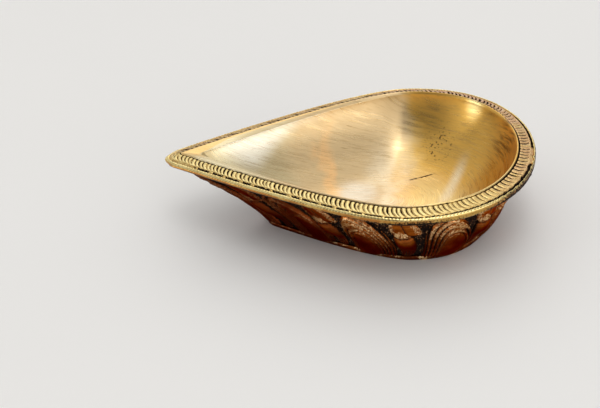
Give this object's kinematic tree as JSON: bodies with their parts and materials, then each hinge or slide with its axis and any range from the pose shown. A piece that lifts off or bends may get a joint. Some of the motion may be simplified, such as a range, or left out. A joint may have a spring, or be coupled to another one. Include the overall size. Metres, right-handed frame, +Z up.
{
  "type": "diya oil lamp",
  "caption": "Teardrop oil lamp in brass: shallow brushed basin, chased crescent rim with a rolled lip, and a lotus-petal body on a flat foot.",
  "frame": {"origin": "centre of the length and width, on the flat underside of the foot", "axes": "+X from the pointed wick end to the round end, +Z up, +Y to the left of +X"},
  "size_m": [0.1274, 0.09, 0.0283],
  "materials": {
    "brushed_brass": "brushed inside, fine scratches along the length",
    "chased_brass": "chased crescents, bright on top with dark patina between",
    "polished_brass": "polished",
    "antique_brass": "antiqued, copper brown with black in the recesses"
  },
  "bodies": {
    "root": {"bowl": "brushed_brass", "crescent_band": "chased_brass", "outer_lip": "polished_brass", "body_wall": "antique_brass", "foot_plate": "antique_brass", "keel_petal": "antique_brass", "lotus_petal_01": "antique_brass", "lotus_petal_02": "antique_brass", "lotus_petal_03": "antique_brass", "lotus_petal_04": "antique_brass", "lotus_petal_05": "antique_brass", "lotus_petal_06": "antique_brass", "lotus_petal_07": "antique_brass", "lotus_petal_08": "antique_brass", "lotus_bud_01": "antique_brass", "lotus_bud_02": "antique_brass", "lotus_bud_03": "antique_brass", "lotus_bud_04": "antique_brass", "lotus_bud_05": "antique_brass", "lotus_bud_06": "antique_brass", "lotus_bud_07": "antique_brass", "lotus_bud_08": "antique_brass", "lotus_bud_09": "antique_brass", "back_leaf_01": "antique_brass", "back_leaf_02": "antique_brass", "back_leaf_03": "antique_brass", "back_leaf_04": "antique_brass", "back_leaf_05": "antique_brass", "back_leaf_06": "antique_brass", "back_leaf_07": "antique_brass", "back_leaf_08": "antique_brass", "back_leaf_09": "antique_brass"}
  },
  "joints": []
}
